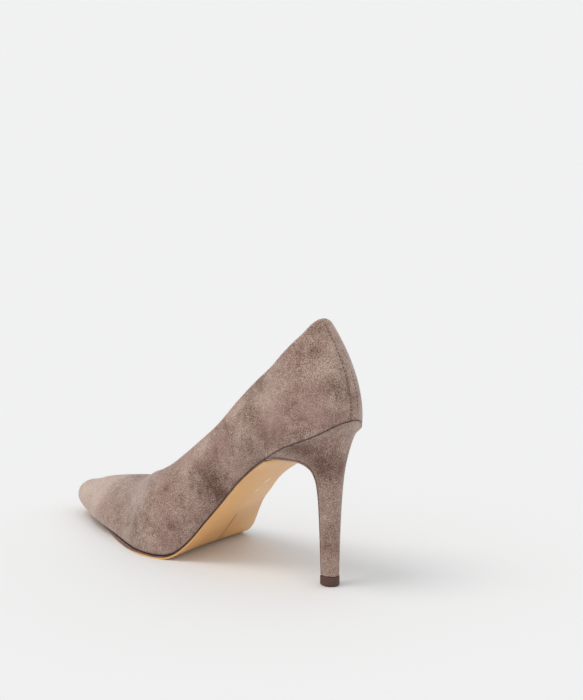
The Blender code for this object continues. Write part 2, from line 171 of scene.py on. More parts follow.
def planHalf(x, inset=0.0):
    seatEnd = rounded(x - inset, last["seatRound"] - inset)
    toeEnd = rounded(length - inset - x, last["toeRound"] - inset)
    return (bottomLine["breadth"](x) / 2 - inset) * (seatEnd * toeEnd)


def bottomLevel(x, y):
    askew = x + last["skew"] * y * easeIn(x, 0.35 * last["ballReach"], 0.80 * last["ballReach"])
    rise = profileLine["rise"](askew) * (last["seatHeight"] - last["treadLevel"])
    outward = (y - middle(x)) / (bottomLine["breadth"](x) / 2)
    tilt = bottomLine["tilt"](x) * last["archTilt"] / 2 * outward
    spring = profileLine["spring"](x) * last["toeSpring"]
    spring = spring + last["tipRise"] * (1 - rounded(length - x, last["tipRiseLength"]))
    return last["treadLevel"] + rise + spring + bottomLine["crown"](x) * outward ** 2 - tilt


def place(x, y, z):
    return np.stack(np.broadcast_arrays(x - last["setback"], y, z), axis=-1)


def ridge(x):
    return sectionLine["ridge"](x) * rounded(length - x, last["toeRoundUp"])


throatTop = float(ridge(throat))
toplineLine = softLine(
    np.append(toplineTable["along"], 1) * throat, np.append(toplineTable["height"], throatTop))


def wallSection(x, side, rows):  # one station of the upper's outside: points, heights over the feather line
    flare, lift, shoulder = (float(sectionLine[k](x)) for k in ("flare", "lift", "shoulder"))
    half, high, mid = float(planHalf(x)), float(ridge(x)), float(middle(x))
    t = np.linspace(0, 1, 401)
    across = (1 - t) ** 3 + 3 * t * (1 - t) ** 2 * (1 + flare) + 3 * t * t * (1 - t) * shoulder
    up = 3 * t * (1 - t) ** 2 * lift + 3 * t * t * (1 - t) + t ** 3
    run = np.append(0, np.cumsum(np.hypot(np.diff(across) * half, np.diff(up) * high)))
    top = run[-1]
    if x < throat:
        top = float(np.interp(min(float(toplineLine(x)) / max(high, 1e-9), 1), up, run))
    places = np.interp(rows * top, run, t)
    across, up = np.interp(places, t, across), np.interp(places, t, up)
    level = float(bottomLevel(x, mid))
    edge = float(bottomLevel(x, mid + side * half)) - level
    z = level + last["gap"] + up * high + edge * (1 - up) ** 2
    share = up * high / counterHeight
    fade = np.clip(1 - x / last["counterReach"], 0, 1) ** 2
    bulge = last["backBulge"] * 4 * share * (1 - share)
    forward = fade * (last["backLean"] * share ** last["leanPower"] - bulge)
    share = np.clip(up * high / toeHeight, 0, 1)
    overhang = last["toeOverhang"] * easeIn(x, length - 2 * last["toeRound"], length)
    forward = forward + overhang * share * (2 - share)
    return place(x + forward, mid + side * half * across, z), up * high


# mesh and node helpers

def makePiece(name, patches, materials, sharpAngle=None):
    # patches are (grid of points, {mark: grid}, material slot); shared edges are welded
    mesh = bmesh.new()
    marks = sorted({mark for patch in patches for mark in patch[1]})
    layers = {mark: mesh.verts.layers.float.new(mark) for mark in marks}
    for points, values, slot in patches:
        points = np.asarray(points)
        verts = [[mesh.verts.new(p) for p in row] for row in points]
        for mark in values:
            for i, row in enumerate(verts):
                for j, vert in enumerate(row):
                    vert[layers[mark]] = float(values[mark][i, j])
        for i in range(len(verts) - 1):
            for j in range(len(verts[0]) - 1):
                face = mesh.faces.new((verts[i][j], verts[i][j + 1], verts[i + 1][j + 1], verts[i + 1][j]))
                face.material_index = slot
    bmesh.ops.remove_doubles(mesh, verts=mesh.verts, dist=2e-6)
    bmesh.ops.dissolve_degenerate(mesh, edges=mesh.edges, dist=1e-7)
    bmesh.ops.recalc_face_normals(mesh, faces=mesh.faces)
    data = bpy.data.meshes.new(name)
    mesh.to_mesh(data)
    mesh.free()
    data.shade_smooth()
    if sharpAngle:
        data.set_sharp_from_angle(angle=math.radians(sharpAngle))
    for material in materials:
        data.materials.append(material)
    piece = bpy.data.objects.new(name, data)
    bpy.context.scene.collection.objects.link(piece)
    return piece


def capped(loop):  # a closed loop as a narrowing grid down to its middle
    centre = loop.mean(axis=0)
    return np.array([centre + (loop - centre) * share for share in (1, 0.6, 0.25, 0)])


def math2(tree, operation, a, b=None, clamp=False):
    made = tree.nodes.new("ShaderNodeMath")
    made.operation = operation
    made.use_clamp = clamp
    for socket, value in zip(made.inputs, (a, b)):
        if value is None:
            continue
        if isinstance(value, (int, float)):
            socket.default_value = value
        else:
            tree.links.new(value, socket)
    return made.outputs[0]


def mixColour(tree, factor, a, b, blend="MIX"):
    made = tree.nodes.new("ShaderNodeMix")
    made.data_type = "RGBA"
    made.blend_type = blend
    for socket, value in ((made.inputs[0], factor), (made.inputs[6], a), (made.inputs[7], b)):
        if isinstance(value, (int, float)):
            socket.default_value = value
        elif isinstance(value, tuple):
            socket.default_value = (*value, 1)
        else:
            tree.links.new(value, socket)
    return made.outputs[2]


def noise(tree, vector, scale, detail=2.0, roughness=0.5, distortion=0.0):
    made = tree.nodes.new("ShaderNodeTexNoise")
    for key, value in (("Detail", detail), ("Roughness", roughness), ("Distortion", distortion)):
        made.inputs[key].default_value = value
    if isinstance(scale, (int, float)):
        made.inputs["Scale"].default_value = scale
    else:
        tree.links.new(scale, made.inputs["Scale"])
    tree.links.new(vector, made.inputs["Vector"])
    return made


def newGroup(name, inputs, outputs):
    tree = bpy.data.node_groups.new(name, "ShaderNodeTree")
    for socket, kind, value in inputs:
        made = tree.interface.new_socket(socket, in_out="INPUT", socket_type="NodeSocket" + kind)
        if value is not None:
            made.default_value = value
    for socket, kind in outputs:
        tree.interface.new_socket(socket, in_out="OUTPUT", socket_type="NodeSocket" + kind)
    return tree, tree.nodes.new("NodeGroupInput").outputs, tree.nodes.new("NodeGroupOutput").inputs


def useGroup(tree, group, **values):
    made = tree.nodes.new("ShaderNodeGroup")
    made.node_tree = group
    for key, value in values.items():
        socket = made.inputs[key]
        if isinstance(value, bpy.types.NodeSocket):
            tree.links.new(value, socket)
        elif isinstance(value, tuple):
            socket.default_value = (*value, 1)
        else:
            socket.default_value = value
    return made.outputs


def srgb(*colour):  # screen values of 0 to 255 to Blender's linear ones
    return tuple(c / 255 / 12.92 if c / 255 <= 0.04045 else ((c / 255 + 0.055) / 1.055) ** 2.4
                 for c in colour)


def newMaterial(name, **shaderValues):
    material = bpy.data.materials.new(name)
    material.use_nodes = True
    tree = material.node_tree
    shader = tree.nodes["Principled BSDF"]
    for key, value in shaderValues.items():
        value = (*value, 1) if isinstance(value, tuple) else value
        shader.inputs[key.replace("_", " ")].default_value = value
    position = tree.nodes.new("ShaderNodeTexCoord").outputs["Object"]
    return material, tree, shader, position


def addBump(tree, shader, height, distance, strength=1.0):
    bump = tree.nodes.new("ShaderNodeBump")
    bump.inputs["Strength"].default_value = strength
    bump.inputs["Distance"].default_value = distance
    tree.links.new(height, bump.inputs["Height"])
    tree.links.new(bump.outputs["Normal"], shader.inputs["Normal"])


def mark(tree, name):
    made = tree.nodes.new("ShaderNodeAttribute")
    made.attribute_name = name
    return made.outputs["Fac"]


print("last and helpers ready")

# effects shared by several materials

def buildNap():  # suede: brushed patches, clouding and grain, with strokes of brushed nap and painted shade and light
    tree, given, out = newGroup(
        "suedeNap",
        [("Vector", "Vector", None), ("Light", "Color", None), ("Middle", "Color", None),
         ("Dark", "Color", None), ("Rosy", "Color", None),
         ("Patch Scale", "Float", 55.0), ("Grain Scale", "Float", 1500.0),
         ("Patch Amount", "Float", 1.0), ("Grain Amount", "Float", 1.0), ("Mottle Amount", "Float", 0.2),
         ("Brushed And Shading", "Float", 0.0)],
        [("Color", "Color"), ("Height", "Float"), ("Roughness", "Float")])
    warp = noise(tree, given["Vector"], 70.0, 2)
    shift = tree.nodes.new("ShaderNodeVectorMath")
    shift.operation = "MULTIPLY_ADD"
    tree.links.new(warp.outputs["Color"], shift.inputs[0])
    shift.inputs[1].default_value = (0.005, 0.005, 0.005)
    tree.links.new(given["Vector"], shift.inputs[2])
    warped = shift.outputs[0]
    patch = noise(tree, warped, given["Patch Scale"], 3, 0.55).outputs["Fac"]
    cloud = noise(tree, warped, 230.0, 5, 0.68).outputs["Fac"]
    grain = noise(tree, given["Vector"], given["Grain Scale"], 2, 0.8).outputs["Fac"]
    tone = math2(tree, "MULTIPLY_ADD", math2(tree, "SUBTRACT", patch, 0.5), given["Patch Amount"])
    tone.node.inputs[2].default_value = 0.5
    tone = math2(tree, "ADD", tone, math2(tree, "MULTIPLY", math2(tree, "SUBTRACT", cloud, 0.5), 0.65))
    mottle = noise(tree, warped, 105.0, 5, 0.66).outputs["Fac"]
    mottle = math2(tree, "MULTIPLY", math2(tree, "SUBTRACT", mottle, 0.53), 6.0, True)
    tone = math2(tree, "SUBTRACT", tone, math2(tree, "MULTIPLY", mottle, given["Mottle Amount"]))
    speck = math2(tree, "MULTIPLY", math2(tree, "SUBTRACT", grain, 0.5), given["Grain Amount"])
    tone = math2(tree, "ADD", tone, speck)
    # the strokes add brushed nap together with painted shade and painted light
    tone = math2(tree, "ADD", tone, given["Brushed And Shading"])
    low = mixColour(tree, math2(tree, "MULTIPLY", tone, 2.0, True), given["Dark"], given["Middle"])
    high = math2(tree, "MULTIPLY", math2(tree, "SUBTRACT", tone, 0.5), 2.0, True)
    colour = mixColour(tree, high, low, given["Light"])
    hue = noise(tree, warped, 34.0, 2, 0.5).outputs["Fac"]
    hue = math2(tree, "MULTIPLY", math2(tree, "SUBTRACT", hue, 0.42), 3.2, True)
    tree.links.new(mixColour(tree, hue, colour, mixColour(tree, 0.55, colour, given["Rosy"])), out["Color"])
    height = math2(tree, "ADD", math2(tree, "MULTIPLY", grain, 0.8), math2(tree, "MULTIPLY", cloud, 0.6))
    tree.links.new(height, out["Height"])
    tree.links.new(math2(tree, "ADD", math2(tree, "MULTIPLY", grain, 0.15), 0.82), out["Roughness"])
    return tree


def buildGrain():  # smooth leather: pores, fine creases and a slow change of tone
    tree, given, out = newGroup(
        "leatherGrain",
        [("Vector", "Vector", None), ("Base", "Color", None), ("Deep", "Color", None),
         ("Pore Scale", "Float", 1400.0), ("Tone Scale", "Float", 30.0),
         ("Tone Amount", "Float", 1.0), ("Gloss", "Float", 0.45)],
        [("Color", "Color"), ("Height", "Float"), ("Roughness", "Float")])
    cells = tree.nodes.new("ShaderNodeTexVoronoi")
    cells.feature = "DISTANCE_TO_EDGE"
    tree.links.new(given["Vector"], cells.inputs["Vector"])
    tree.links.new(given["Pore Scale"], cells.inputs["Scale"])
    pores = math2(tree, "MULTIPLY", cells.outputs["Distance"], 3.0, True)
    tone = noise(tree, given["Vector"], given["Tone Scale"], 4, 0.6).outputs["Fac"]
    fine = noise(tree, given["Vector"], 900.0, 4, 0.7).outputs["Fac"]
    amount = math2(tree, "MULTIPLY", math2(tree, "SUBTRACT", tone, 0.36), given["Tone Amount"], True)
    amount = math2(tree, "MULTIPLY", amount, 2.2, True)
    fleck = math2(tree, "MULTIPLY", math2(tree, "SUBTRACT", fine, 0.5), 0.35)
    amount = math2(tree, "ADD", amount, fleck, True)
    tree.links.new(mixColour(tree, amount, given["Base"], given["Deep"]), out["Color"])
    height = math2(tree, "ADD", math2(tree, "MULTIPLY", pores, 0.5), math2(tree, "MULTIPLY", fine, 0.5))
    tree.links.new(height, out["Height"])
    uneven = math2(tree, "MULTIPLY", math2(tree, "SUBTRACT", tone, 0.5), 0.25)
    tree.links.new(math2(tree, "ADD", given["Gloss"], uneven), out["Roughness"])
    return tree


napGroup, grainGroup = buildNap(), buildGrain()

suede = {
    "light": srgb(202, 180, 166), "middle": srgb(158, 132, 120), "dark": srgb(98, 71, 60),
    # the seam colour is also painted shade: the dark crease along the feather line, under the turned edge and
    # at the sole's top edge
    "rosy": srgb(162, 127, 121), "seam": srgb(84, 46, 30),
    "patchScale": 62.0, "grainScale": 1550.0, "grainAmount": 2.4,
    "patchAmount": 0.8, "heelPatchAmount": 0.8,
    "mottleAmount": 0.23, "heelMottleAmount": 0.12,
    "sheen": 0.65, "sheenTint": (0.92, 0.86, 0.82), "sheenRoughness": 0.34, "bump": 0.00035,
    "creaseShadeHeight": 0.00028,  # how far the painted shade of the crease reaches up from the feather line
}


def suedeMaterial(name, patchAmount, mottleAmount):
    material, tree, shader, position = newMaterial(
        name, Sheen_Weight=suede["sheen"], Sheen_Roughness=suede["sheenRoughness"],
        Sheen_Tint=suede["sheenTint"], Specular_IOR_Level=0.15)
    out = useGroup(tree, napGroup, **{
        "Vector": position, "Light": suede["light"], "Middle": suede["middle"], "Dark": suede["dark"],
        "Rosy": suede["rosy"], "Patch Scale": suede["patchScale"], "Grain Scale": suede["grainScale"],
        "Patch Amount": patchAmount, "Grain Amount": suede["grainAmount"], "Mottle Amount": mottleAmount,
        "Brushed And Shading": mark(tree, "brushed")})
    # dark seam lines, and painted shade in the crease along the feather line
    colour = mixColour(tree, mark(tree, "seam"), out["Color"], suede["seam"])
    tree.links.new(colour, shader.inputs["Base Color"])
    tree.links.new(out["Roughness"], shader.inputs["Roughness"])
    addBump(tree, shader, out["Height"], suede["bump"])
    return material


def leatherMaterial(name, base, deep, poreScale, toneScale, toneAmount, gloss, bump, coat=0.0, seam=None):
    material, tree, shader, position = newMaterial(
        name, Coat_Weight=coat, Coat_Roughness=0.3, Specular_IOR_Level=0.4)
    out = useGroup(tree, grainGroup, Vector=position, Base=base, Deep=deep, Gloss=gloss,
                   **{"Pore Scale": poreScale, "Tone Scale": toneScale, "Tone Amount": toneAmount})
    colour = out["Color"]
    # seam lines, and painted shade where the part meets the upper
    if seam:
        colour = mixColour(tree, mark(tree, "seam"), colour, seam)
    tree.links.new(colour, shader.inputs["Base Color"])
    tree.links.new(out["Roughness"], shader.inputs["Roughness"])
    addBump(tree, shader, out["Height"], bump)
    return material


upperSuede = suedeMaterial("upperSuede", suede["patchAmount"], suede["mottleAmount"])
heelSuede = suedeMaterial("heelSuede", suede["heelPatchAmount"], suede["heelMottleAmount"])
liningLeather = leatherMaterial(
    "liningLeather", srgb(196, 172, 146), srgb(170, 144, 118), 900.0, 26.0, 0.8, 0.55, 0.00012)
sockLeather = leatherMaterial(
    "sockLeather", srgb(206, 180, 150), srgb(182, 152, 122), 1100.0, 22.0, 0.8, 0.5, 0.0001)
print("suede and leather ready")

# upper: suede outside, folded topline, leather lining

upperLook = {
    "quarterStations": 132, "vampStations": 66, "rows": 46, "rowShift": 0.035, "liningRows": 16,
    "seamSpan": (0.057, 0.084, 68), "seamMargin": 0.0003,  # more stations where the inner side's seam runs
    # the folded topline is painted 0.22 lighter, a painted highlight along its edge
    "wall": 0.0016, "foldPoints": 8, "foldFullness": 1.0, "foldHighlight": 0.22,
    "tuck": 0.0004, "tuckReach": 0.0006, "underSag": 0.00012,  # the suede turned under at the feather line
    "backSeam": {"shift": 0.6, "width": 0.4, "end": 0.02, "depth": 0.00025, "dark": 0.22},
    # soft troughs (+) and ridges (-) in the side view: x, z, length, width, angle, depth, in mm and degrees
    "outerFolds": [(113, 24, 9, 2.6, 70, 0.35), (98, 22, 8, 2.4, 60, 0.30), (167, 24, 14, 3.0, 35, 0.12),
                   (103, 38, 8, 3.0, -40, 0.25), (88, 34, 12, 3.5, 62, 0.25), (124, 17, 9, 3.0, 75, 0.20),
                   (108, 30, 10, 4.0, 80, -0.20)],
    "innerFolds": [(112, 24, 10, 3.0, 72, 0.30), (96, 26, 9, 3.0, 62, 0.25), (128, 18, 9, 3.0, 78, 0.2)],
    # where the nap is brushed, and where painted shade and light lie, darker (-) or lighter (+): x, z, length,
    # width, angle, amount
    "outerBrushedAndShading": [(168, 25, 12, 2.4, 38, -0.16), (174, 20, 7, 2.4, 60, -0.10), (103, 40, 7, 3.6, -35, -0.26),
                     (97, 23, 8, 2.6, 62, -0.30), (124, 17, 8, 3.2, 70, -0.20), (101, 12, 6, 3, 70, -0.22),
                     (89, 37, 8, 3, 50, -0.16), (68, 46, 26, 8, 52, -0.34), (60, 58, 12, 9, 50, -0.12),
                     (84, 30, 14, 5, 50, -0.10), (25, 85, 18, 8, 25, -0.22), (40, 97, 9, 6, 40, -0.12),
                     (12, 126, 14, 6, 55, -0.16), (6, 143, 7, 3.5, 20, -0.20), (-11, 114, 5, 9, 80, -0.20),
                     (9, 106, 8, 9, 60, -0.08), (-4, 121, 8, 12, 60, 0.12), (52, 94, 18, 5, -48, 0.26),
                     (78, 66, 18, 5, -42, 0.28), (190, 20, 22, 16, 0, 0.48), (212, 14, 16, 12, 0, 0.40),
                     (117, 29, 14, 8, 30, 0.10),
                     (109, 9, 9, 4, 0, 0.05), (27, 118, 12, 4, -50, 0.10), (-15, 104, 4, 8, 85, 0.08)],
    "innerBrushedAndShading": [(160, 24, 14, 4, 40, -0.2), (100, 30, 10, 4, 50, -0.22), (70, 50, 20, 7, 50, -0.2),
                     (30, 90, 14, 8, 30, -0.16), (10, 120, 10, 8, 60, -0.14), (190, 18, 22, 15, 0, 0.44),
                     (212, 14, 16, 12, 0, 0.40),
                     (50, 95, 14, 5, -48, 0.12), (120, 24, 12, 6, 30, 0.12), (-8, 110, 6, 9, 80, 0.08)],
    "sideSeam": {"bottom": (43.5, 56), "top": (66, 90), "width": 0.7, "depth": 0.45},
}


def strokes(points, rows):
    total = np.zeros(points.shape[:2])
    for x, z, along, across, angle, amount in rows:
        dx, dz = points[..., 0] * 1000 - x, points[..., 2] * 1000 - z
        c, s = math.cos(math.radians(angle)), math.sin(math.radians(angle))
        u, v = (dx * c + dz * s) / along, (dz * c - dx * s) / across
        total += amount * np.exp(-1.6 * (u * u + v * v))
    return total


def gridNormals(points, side):
    alongX = np.gradient(points, axis=0)
    alongUp = np.gradient(points, axis=1)
    normal = np.cross(alongX, alongUp) * -side
    size = np.linalg.norm(normal, axis=-1, keepdims=True)
    return normal / np.maximum(size, 1e-12)


def distanceToLine(points, start, end):
    start, end = np.array(start, float), np.array(end, float)
    flat = points[..., (0, 2)] * 1000 - start
    run = end - start
    t = np.clip((flat @ run) / (run @ run), 0, 1)
    return np.linalg.norm(flat - t[..., None] * run, axis=-1)


def buildUpper():
    quarter = throat * (1 - np.cos(np.linspace(0, math.pi, upperLook["quarterStations"] + 1))) / 2
    (near, far, count), margin = upperLook["seamSpan"], upperLook["seamMargin"]
    quarter = np.concatenate((
        quarter[quarter < near - margin], np.linspace(near, far, count), quarter[quarter > far + margin]))
    vamp = throat + last["vamp"] * np.sin(np.linspace(0, math.pi / 2, upperLook["vampStations"] + 1))
    stations = np.append(quarter, vamp[1:])
    k = len(quarter) - 1
    rows = np.linspace(0, 1, upperLook["rows"] + 1)
    rows = rows - upperLook["rowShift"] * np.sin(2 * math.pi * rows)  # closer together at both edges
    patches = []
    for side in (1, -1):
        sections = [wallSection(x, side, rows) for x in stations]
        outer = np.array([s[0] for s in sections])
        height = np.array([s[1] for s in sections])
        normal = gridNormals(outer, side)
        normal[0, :, 1] = 0
        normal[k:, -1, 1] = 0
        normal /= np.maximum(np.linalg.norm(normal, axis=-1, keepdims=True), 1e-12)
        thick = np.minimum(upperLook["wall"], 0.45 * np.minimum(planHalf(stations), ridge(stations)))
        thick[:k] = upperLook["wall"]
        lining = outer - normal * thick[:, None, None]
        # relief of the suede
        fade = easeIn(height, 0.001, 0.005) * easeIn(stations[:, None] * np.ones_like(height), 0.002, 0.010)
        # the two sides' strokes run into each other over the vamp's ridge
        own = 0.5 + 0.5 * easeIn(side * outer[..., 1], 0, 0.012)
        own = np.maximum(own, 1 - easeIn(stations, throat - 0.02, throat)[:, None])
        outerShare = own if side > 0 else 1 - own
        relief = strokes(outer, upperLook["outerFolds"]) * outerShare
        relief += strokes(outer, upperLook["innerFolds"]) * (1 - outerShare)
        relief *= 0.001 * fade
        # tone strokes: brushed nap together with painted shade and painted light
        brushed = strokes(outer, upperLook["outerBrushedAndShading"]) * outerShare
        brushed += strokes(outer, upperLook["innerBrushedAndShading"]) * (1 - outerShare)
        # painted shade: the crease along the feather line is darkened, faded out towards the toe
        toeFade = (1 - easeIn(stations, 0.186, 0.204))[:, None]
        seam = 0.9 * np.exp(-(height / suede["creaseShadeHeight"]) ** 2) * toeFade
        tuck = upperLook["tuck"] * np.exp(-height / upperLook["tuckReach"])
        if side < 0:
            look = upperLook["sideSeam"]
            away = distanceToLine(outer, look["bottom"], look["top"])
            relief += 0.001 * look["depth"] * np.exp(-(away / look["width"]) ** 2)
            seam = np.maximum(seam, 0.7 * np.exp(-(away / (0.6 * look["width"])) ** 2))
        look = upperLook["backSeam"]
        away = np.abs(outer[..., 1]) * 1000 - look["shift"] * (side > 0)
        backSeam = np.exp(-(away / look["width"]) ** 2) * (outer[..., 0] < look["end"])
        relief += look["depth"] * backSeam
        seam = np.maximum(seam, look["dark"] * backSeam)
        shown = outer - normal * (relief + tuck)[..., None]
        # folded topline
        edge, inside = shown[:k + 1, -1], lining[:k + 1, -1]
        along = np.gradient(edge, axis=0)
        along[0], along[k] = (0, side, 0), (0, -side, 0)
        along /= np.linalg.norm(along, axis=1, keepdims=True)
        out = np.cross(along, normal[:k + 1, -1]) * side
        out[0, 1] = out[k, 1] = 0
        out /= np.linalg.norm(out, axis=1, keepdims=True)
        turn = np.linspace(0, math.pi, upperLook["foldPoints"] + 1)
        fold = [edge + (inside - edge) * (1 - math.cos(a)) / 2
                + out * upperLook["wall"] / 2 * upperLook["foldFullness"] * math.sin(a) for a in turn]
        fold = np.stack(fold, axis=1)
        # lining and the turned-under edge
        pick = np.linspace(0, upperLook["rows"], upperLook["liningRows"] + 1)
        liningGrid = lining[:, np.unique(np.round(pick).astype(int))]
        sagging = (shown[:, 0] + lining[:, 0]) / 2 - (0, 0, upperLook["underSag"])
        under = np.stack((shown[:, 0], sagging, lining[:, 0]), axis=1)
        zero = lambda grid: np.zeros(grid.shape[:2])
        # the fold takes the strokes' tone plus a painted highlight along the topline
        foldHighlight = np.repeat(brushed[:k + 1, -1:], fold.shape[1], axis=1) + upperLook["foldHighlight"]
        # the turned-under edge is painted dark as shade beneath the feather line
        patches += [(shown, {"brushed": brushed, "seam": seam}, 0),
                    (fold, {"brushed": foldHighlight, "seam": zero(fold)}, 0),
                    (liningGrid, {"brushed": zero(liningGrid), "seam": zero(liningGrid)}, 1),
                    (under, {"brushed": zero(under), "seam": zero(under) + 0.85}, 0)]
    return makePiece("upperShell", patches, [upperSuede, liningLeather])


upperShell = buildUpper()
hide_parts("upper")
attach(upperShell, "root")
print("upper ready")

# insole with its sock

sockLook = {"stations": 120, "across": 24, "thick": 0.0022, "inset": 0.0022, "edgeRound": 0.0007}


def soleStations(start, inset, count):  # closer together at both ends
    t = np.linspace(0, 1, count + 1)
    return np.unique(np.round(start + (length - inset - start) * (1 - np.cos(math.pi * t)) / 2, 7))


def buildSock():
    look = sockLook
    x = soleStations(look["inset"] + 1e-5, look["inset"], look["stations"])
    t = np.linspace(-1, 1, look["across"] + 1)
    t = np.sin(t * math.pi / 2)
    rings, edgeRound, face = [], look["edgeRound"], last["gap"] + look["thick"]
    for drawnIn, level in ((0, last["gap"]), (0, face - edgeRound),
                           (0.3 * edgeRound, face - 0.3 * edgeRound), (edgeRound, face)):
        inset = look["inset"] + drawnIn
        y = middle(x)[:, None] + planHalf(x, inset)[:, None] * t
        along = np.broadcast_to(x[:, None], y.shape)
        rings.append(place(along, y, bottomLevel(along, y) + level))
    bottom, top = rings[0], rings[-1]
    none = lambda grid: {"seam": np.zeros(grid.shape[:2])}
    patches = [(top, none(top), 0), (bottom, none(bottom), 0)]
    for low, high in zip(rings, rings[1:]):
        for cut in (np.s_[:, 0], np.s_[:, -1], np.s_[0], np.s_[-1]):
            strip = np.stack((low[cut], high[cut]))
            patches.append((strip, none(strip), 0))
    return makePiece("sock", patches, [sockLeather], 50)


sock = buildSock()
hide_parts("insole")
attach(sock, "root")
print("sock ready")

# leather outsole with its painted edge, and scored lines with painted shadow and painted highlight

soleLook = {
    "stations": 190, "bevel": 0.0006, "hollow": 0.004,
    # station, thickness and how far the edge lies inside the feather line
    "table": [(0.36, 0.0016, -0.0004), (0.75, 0.0016, -0.0004), (1.00, 0.0022, -0.0004),
              (1.30, 0.0022, -0.0004), (1.62, 0.0014, 0.0022), (2.00, 0.0014, 0.0022)],
    "tan": srgb(240, 186, 118), "tanDeep": srgb(214, 156, 92), "scoreShadow": srgb(92, 62, 40),
    "scoreHighlight": srgb(255, 240, 216), "edge": srgb(128, 102, 93), "edgeDeep": srgb(92, 70, 63),
    # lines scored in the sole: x from and to, y from and to, depth and width in mm, painted shadow (+) or
    # painted highlight (-)
    "scores": [(54.5, 67.5, -5.6, -0.4, 0.20, 0.42, -1.0), (80, 107, -1.0, -5.4, 0.40, 0.42, 1.0)],
}
# the edge's top takes the seam colour as painted shade in the crease under the upper
edgePaint = leatherMaterial(
    "edgePaint", soleLook["edge"], soleLook["edgeDeep"], 1600.0, 60.0, 1.0, 0.6, 0.00008, seam=suede["seam"])


def soleMaterial():
    material, tree, shader, position = newMaterial(
        "soleTan", Coat_Weight=0.25, Coat_Roughness=0.28, Specular_IOR_Level=0.45)
    out = useGroup(tree, grainGroup, Vector=position, Base=soleLook["tan"], Deep=soleLook["tanDeep"],
                   Gloss=0.42, **{"Pore Scale": 2400.0, "Tone Scale": 18.0, "Tone Amount": 0.9})
    # painted shadow and painted highlight along the scored lines
    colour = mixColour(tree, mark(tree, "seam"), out["Color"], soleLook["scoreShadow"])
    colour = mixColour(tree, mark(tree, "pale"), colour, soleLook["scoreHighlight"])
    tree.links.new(colour, shader.inputs["Base Color"])
    tree.links.new(out["Roughness"], shader.inputs["Roughness"])
    addBump(tree, shader, out["Height"], 0.00006)
    return material


soleTan = soleMaterial()


def buildSole():
    look = soleLook
    start = last["breastReach"] + last["gap"]
    run = np.linspace(0, 1, look["stations"] + 1) ** 0.8
    x = start + (length - last["toeInset"] - start) * np.sin(run * math.pi / 2)
    # closer together in the middle, where the scored lines are, and at the edges
    t = np.concatenate((-np.sin(np.linspace(math.pi / 2, 0.22, 10)), np.linspace(-0.2, 0.2, 33),
                        np.sin(np.linspace(0.22, math.pi / 2, 10))))
    lines = columns(table("station thick inset", look["table"]))

    def grid(inset, down):
        fade = np.clip(1 - (x - x[0]) / (6 * look["hollow"]), 0, 1)
        along = x[:, None] - look["hollow"] * fade[:, None] * (1 - t ** 2)
        y = middle(along) + planHalf(along, inset + lines["inset"](along)) * t
        z = np.maximum(bottomLevel(along, y) - down * lines["thick"](along), 0) - 0.00003 * (down == 0)
        return place(along, y, z)

    bevel = look["bevel"]
    # the edge's paint ends higher up by the ball
    paintEnd = (0.70 - 0.25 * easeIn(x, 0.075, 0.105) + 0.43 * easeIn(x, 0.130, 0.155))[:, None]
    rings = [grid(0.0002, 0), grid(0, 0.12), grid(0, paintEnd)]
    rings += [grid(0.25 * bevel, 0.90), grid(0.9 * bevel, 1.0)]
    bottom = rings[-1].copy()
    dark, pale = np.zeros(bottom.shape[:2]), np.zeros(bottom.shape[:2])
    # each scored line is a groove with a painted shadow (+) or a painted highlight (-) along it
    for x0, x1, y0, y1, depth, width, tone in look["scores"]:
        share = (bottom[..., 0] * 1000 - x0) / (x1 - x0)
        line = y0 + (y1 - y0) * share
        hit = np.exp(-((bottom[..., 1] * 1000 - line) / width) ** 2)
        hit = hit * easeIn(share, -0.05, 0.15) * (1 - easeIn(share, 0.85, 1.05))
        bottom[..., 2] += 0.001 * depth * hit
        dark += max(tone, 0) * hit
        pale += max(-tone, 0) * hit
    none = lambda g: {"seam": np.zeros(g.shape[:2]), "pale": np.zeros(g.shape[:2])}
    rings[-1] = bottom
    # the top ring and the first strip of the edge are painted dark as shade in the crease under the upper
    patches = [(bottom, {"seam": dark, "pale": pale}, 0),
               (rings[0], {"seam": np.ones(bottom.shape[:2]), "pale": pale * 0}, 1)]
    for number, (high, low) in enumerate(zip(rings, rings[1:])):
        for cut in (np.s_[:, 0], np.s_[:, -1], np.s_[0], np.s_[-1]):
            strip = np.stack((high[cut], low[cut]))
            marks = none(strip)
            if number == 0:
                marks["seam"][:] = 0.8
            patches.append((strip, marks, 1 if number < 2 else 0))
    return makePiece("leatherSole", patches, [soleTan, edgePaint], 50)


leatherSole = buildSole()
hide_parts("outsole")
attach(leatherSole, "root")
print("sole ready")

# covered heel

heelLook = {
    "rings": 110, "seatStations": 44, "across": 26, "depth": 0.0090, "width": 0.0090, "hollow": 0.004,
    "topPiece": 0.0056, "backShare": 0.6, "drawIn": 0.15, "topRing": 0.55,
    "seamDepth": 0.00030, "seamWidth": 0.00055, "topRound": 0.0001, "topRoundReach": 0.0004,
    # how far the painted shade at the top of the cover reaches down
    "topShade": 0.00026,
    # where the nap is brushed, and where painted shade and light lie, darker (-) or lighter (+): x, z, length,
    # width, angle, amount
    "brushed": [(-13, 78, 6, 10, 60, 0.10), (0, 62, 9, 14, 80, -0.12), (-2, 40, 5, 12, 85, 0.10),
                (2, 22, 4, 10, 85, -0.12),
                (8, 80, 18, 10, 25, -0.48), (-2, 68, 8, 8, 60, -0.26), (24, 72, 5, 3, 30, -0.10)],
}
heelLine = {name: softLine(heelTable["ring"] * length, heelTable[name])
            for name in heelTable if name != "ring"}


